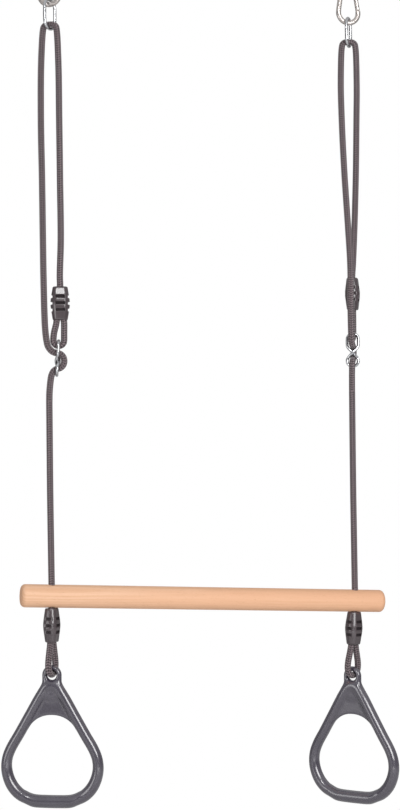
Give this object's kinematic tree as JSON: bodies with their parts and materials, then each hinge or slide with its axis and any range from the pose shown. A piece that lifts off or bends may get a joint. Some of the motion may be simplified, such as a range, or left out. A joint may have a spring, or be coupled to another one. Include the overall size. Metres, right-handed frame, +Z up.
{
  "type": "trapeze bar",
  "caption": "Short wooden trapeze bar on two black ropes with snap hooks, figure-8 length adjusters and a moulded hand ring hanging under each end.",
  "frame": {"origin": "where the left snap hook hangs on its eye: the lowest point of the hook's upper bend, on the inside", "axes": "+X runs level from the left hook to the right hook, +Y points to the back, +Z points up"},
  "size_m": [0.611, 0.1208, 1.3204],
  "materials": {
    "wood": "fine-grained light beech, sanded and clear lacquered",
    "rope": "braided synthetic rope, faded black",
    "ring": "glossy slate grey moulding",
    "clamp": "glossy near-black moulding",
    "chrome": "bright plated wire",
    "nickel": "nickel-plated steel, satin bright"
  },
  "bodies": {
    "hooks": {"carabiner_body_left": "nickel", "carabiner_body_right": "nickel", "gate_pin_left": "chrome", "gate_pin_right": "chrome"},
    "gate_left": {"carabiner_gate_left": "nickel", "gate_spring_left": "chrome", "gate_plunger_left": "chrome"},
    "gate_right": {"carabiner_gate_right": "nickel", "gate_spring_right": "chrome", "gate_plunger_right": "chrome"},
    "links": {"oval_link_left": "chrome", "oval_link_right": "chrome"},
    "leg_left": {"rope_upper_left": "rope"},
    "adjuster_left": {"adjuster_eight_left": "chrome", "upper_clamp_front_left": "clamp", "upper_clamp_rear_left": "clamp"},
    "lower_left": {"rope_lower_left": "rope"},
    "bar": {"bar": "wood", "lower_clamp_front_left": "clamp", "lower_clamp_rear_left": "clamp", "lower_clamp_front_right": "clamp", "lower_clamp_rear_right": "clamp"},
    "ring_loop_left": {"ring_rope_left": "rope"},
    "ring_left": {"gym_ring_left": "ring"},
    "ring_loop_right": {"ring_rope_right": "rope"},
    "ring_right": {"gym_ring_right": "ring"},
    "leg_right": {"rope_upper_right": "rope"},
    "adjuster_right": {"adjuster_eight_right": "chrome", "upper_clamp_front_right": "clamp", "upper_clamp_rear_right": "clamp"},
    "lower_right": {"rope_lower_right": "rope"}
  },
  "joints": [
    {"name": "gate_open_left", "type": "hinge", "parent": "hooks", "child": "gate_left", "pos_m": [0.00835, -0.00522, -0.00947], "axis": [0.5299, 0.848, 0], "range_deg": [0, 25], "stiffness_Nm_per_rad": 0.05, "springref_deg": -17.19},
    {"name": "gate_open_right", "type": "hinge", "parent": "hooks", "child": "gate_right", "pos_m": [0.49448, 0, -0.00947], "axis": [0, 1, 0], "range_deg": [0, 25], "stiffness_Nm_per_rad": 0.05, "springref_deg": -17.19},
    {"name": "swing", "type": "hinge", "parent": "hooks", "child": "links", "pos_m": [0.2423, 0, -0.068], "axis": [1, 0, 0], "range_deg": [-30, 30]},
    {"name": "sway", "type": "hinge", "parent": "links", "child": "leg_left", "pos_m": [0, 0, -0.1058], "axis": [0, 1, 0], "range_deg": [-15, 15]},
    {"name": "adjust", "type": "slide", "parent": "leg_left", "child": "adjuster_left", "axis": [0, 0, 1], "range_m": [-0.085, 0.22], "deforming": ["rope_upper_left"]},
    {"name": "rope_feed_left", "type": "slide", "parent": "adjuster_left", "child": "lower_left", "axis": [0, 0, -1], "range_m": [-0.17, 0.44], "deforming": ["rope_lower_left"]},
    {"name": "level", "type": "hinge", "parent": "lower_left", "child": "bar", "pos_m": [0, 0, -0.9567], "axis": [0, 1, 0], "range_deg": [-15, 15]},
    {"name": "ring_swing_left", "type": "hinge", "parent": "bar", "child": "ring_loop_left", "pos_m": [0, 0, -1.0445], "axis": [1, 0, 0], "range_deg": [-60, 60], "deforming": ["ring_rope_left"]},
    {"name": "ring_rock_left", "type": "hinge", "parent": "ring_loop_left", "child": "ring_left", "pos_m": [0, 0, -1.0933], "axis": [0, 1, 0], "range_deg": [-30, 30]},
    {"name": "ring_swing_right", "type": "hinge", "parent": "bar", "child": "ring_loop_right", "pos_m": [0.48193, 0, -1.06295], "axis": [1, 0, 0], "range_deg": [-60, 60], "deforming": ["ring_rope_right"]},
    {"name": "ring_rock_right", "type": "hinge", "parent": "ring_loop_right", "child": "ring_right", "pos_m": [0.48002, 0, -1.1117], "axis": [0, 1, 0], "range_deg": [-30, 30]},
    {"name": "sway_right", "type": "hinge", "parent": "links", "child": "leg_right", "pos_m": [0.48463, 0, -0.1058], "axis": [0, 1, 0], "range_deg": [-15, 15]},
    {"name": "adjust_right", "type": "slide", "parent": "leg_right", "child": "adjuster_right", "axis": [0, 0, 1], "range_m": [-0.085, 0.22], "deforming": ["rope_upper_right"]},
    {"name": "rope_feed_right", "type": "slide", "parent": "adjuster_right", "child": "lower_right", "axis": [0, 0, -1], "range_m": [-0.17, 0.44], "deforming": ["rope_lower_right"]}
  ],
  "couplings": [
    {"joint": "rope_feed_left", "follows": "adjust", "ratio": 2},
    {"joint": "adjust_right", "follows": "adjust", "ratio": 1},
    {"joint": "rope_feed_right", "follows": "adjust", "ratio": 2},
    {"joint": "level", "follows": "sway", "ratio": -1},
    {"joint": "sway_right", "follows": "sway", "ratio": 0.978}
  ]
}
